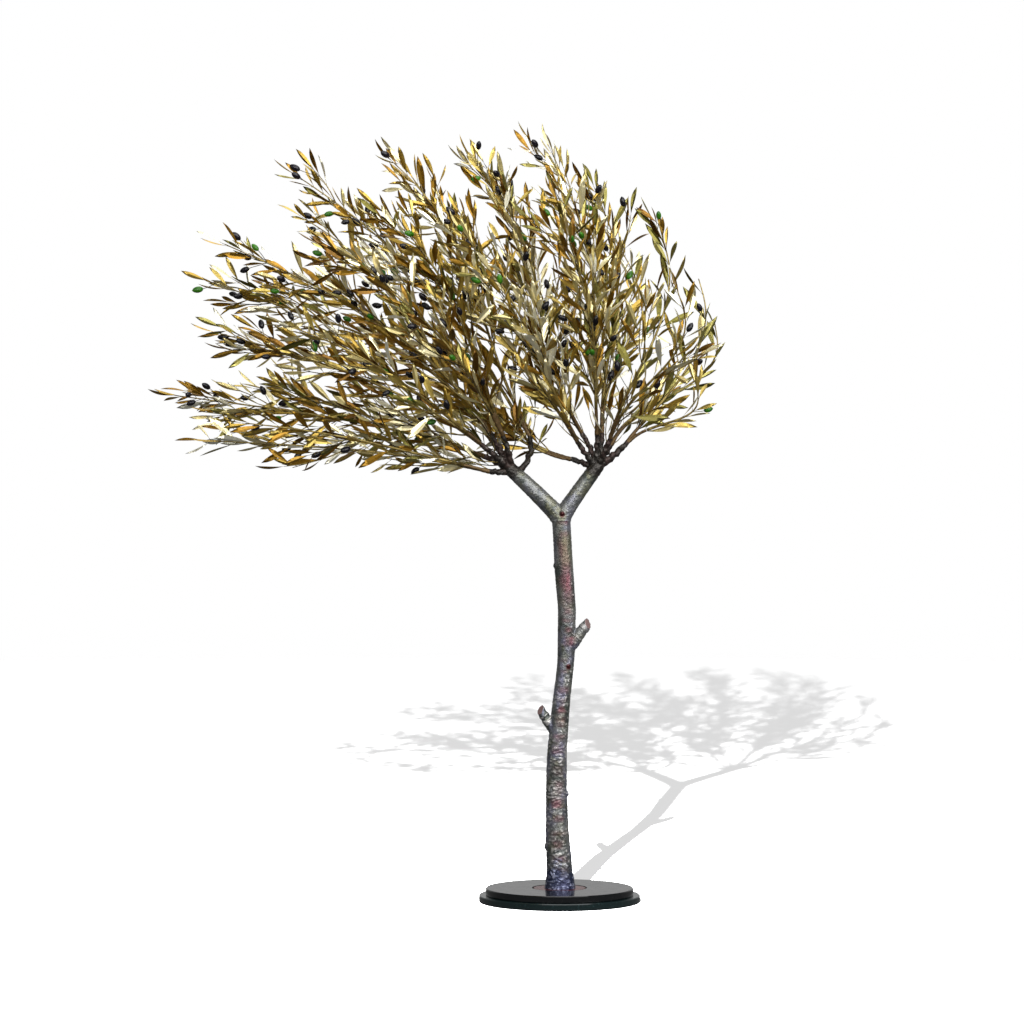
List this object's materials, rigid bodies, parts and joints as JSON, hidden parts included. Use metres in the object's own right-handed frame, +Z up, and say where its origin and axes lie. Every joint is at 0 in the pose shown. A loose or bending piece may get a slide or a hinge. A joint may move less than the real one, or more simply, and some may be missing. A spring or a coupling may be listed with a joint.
{
  "type": "artificial olive tree on a stand",
  "caption": "Windswept artificial olive tree: cast bronze trunk forking into two arms of fanned boughs, brass leaf sprays with olives blown to one side, on a round two-step stand.",
  "frame": {"origin": "centre of the stand's flat underside", "axes": "+Z up the trunk, +X the side the wind comes from, so the crown streams towards -X, and +Y from the front to the back"},
  "size_m": [1.1125, 0.5321, 1.4973],
  "materials": {
    "stand_black": "polished",
    "foot_copper": "glossy red-brown patina",
    "bark_bronze": "rough cast bark with a grey, green and rose patina",
    "bough_bronze": "dark brown patina",
    "leaf_brass": "satin brass leaves, darker where patinated"
  },
  "bodies": {
    "root": {"arm_left": "bark_bronze", "arm_right": "bark_bronze", "bough_left_1": "bough_bronze", "bough_left_2": "bough_bronze", "bough_left_3": "bough_bronze", "bough_left_4": "bough_bronze", "bough_left_5": "bough_bronze", "bough_left_6": "bough_bronze", "bough_left_7": "bough_bronze", "bough_right_1": "bough_bronze", "bough_right_2": "bough_bronze", "bough_right_3": "bough_bronze", "bough_right_4": "bough_bronze", "bough_right_5": "bough_bronze", "bough_right_6": "bough_bronze", "bough_right_7": "bough_bronze", "bough_right_8": "bough_bronze", "foliage_left_1a": "leaf_brass", "foliage_left_1b": "leaf_brass", "foliage_left_2a": "leaf_brass", "foliage_left_2b": "leaf_brass", "foliage_left_3a": "leaf_brass", "foliage_left_3b": "leaf_brass", "foliage_left_4a": "leaf_brass", "foliage_left_4b": "leaf_brass", "foliage_left_5a": "leaf_brass", "foliage_left_5b": "leaf_brass", "foliage_left_6a": "leaf_brass", "foliage_left_6b": "leaf_brass", "foliage_left_7a": "leaf_brass", "foliage_left_7b": "leaf_brass", "foliage_right_1a": "leaf_brass", "foliage_right_1b": "leaf_brass", "foliage_right_2a": "leaf_brass", "foliage_right_2b": "leaf_brass", "foliage_right_3a": "leaf_brass", "foliage_right_3b": "leaf_brass", "foliage_right_4a": "leaf_brass", "foliage_right_4b": "leaf_brass", "foliage_right_5a": "leaf_brass", "foliage_right_5b": "leaf_brass", "foliage_right_6a": "leaf_brass", "foliage_right_6b": "leaf_brass", "foliage_right_7a": "leaf_brass", "foliage_right_7b": "leaf_brass", "foliage_right_8a": "leaf_brass", "foliage_right_8b": "leaf_brass", "foot_plate": "foot_copper", "stand_lower": "stand_black", "stand_upper": "stand_black", "trunk": "bark_bronze"}
  },
  "joints": []
}
